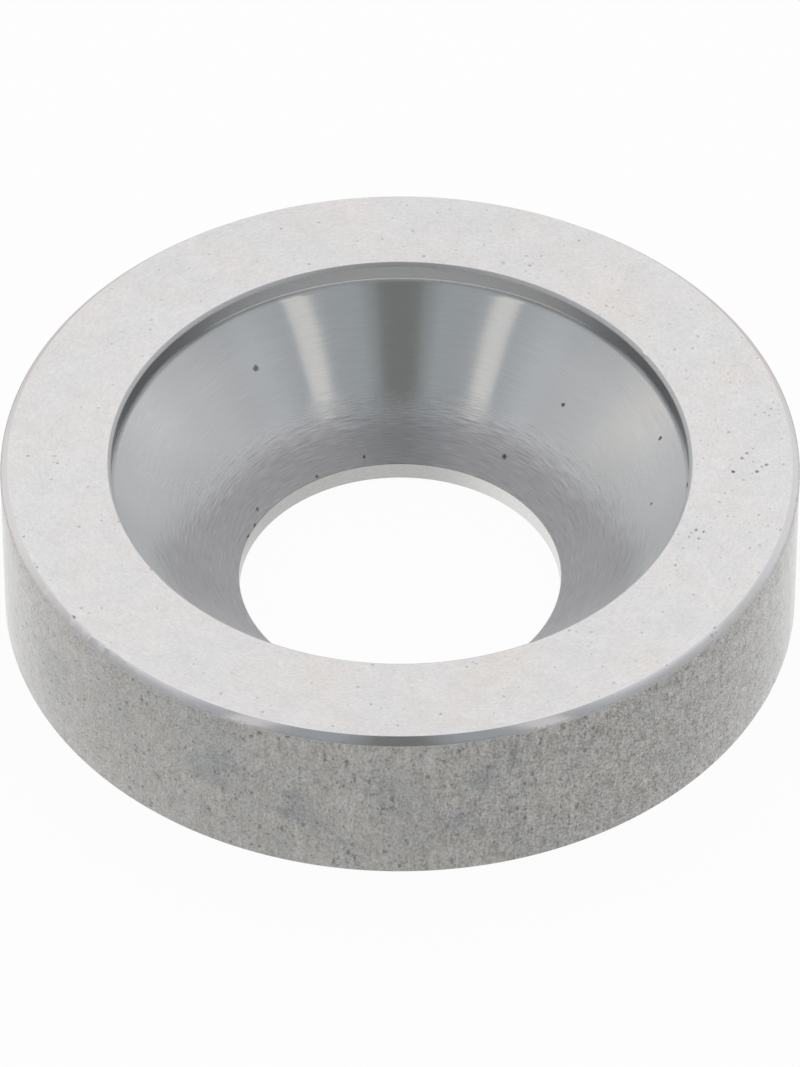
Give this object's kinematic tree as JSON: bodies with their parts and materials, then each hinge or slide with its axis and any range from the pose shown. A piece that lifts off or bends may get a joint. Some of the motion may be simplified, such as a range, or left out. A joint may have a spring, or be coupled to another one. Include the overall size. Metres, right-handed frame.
{
  "type": "countersunk washer",
  "caption": "Thick round steel washer with a through bore, a conical seat and a shallow straight recess, which takes a countersunk screw head flush.",
  "frame": {"origin": "centre of the bottom face, on the bore's axis", "axes": "+Z along the bore, out of the countersink; X and Y lie in the bottom face"},
  "size_m": [0.0332, 0.0332, 0.0076],
  "materials": {
    "turned_steel": "bright turned faces and cone, with the outside left as the dull, finely pitted skin of the bar"
  },
  "bodies": {
    "root": {"washer": "turned_steel"}
  },
  "joints": []
}
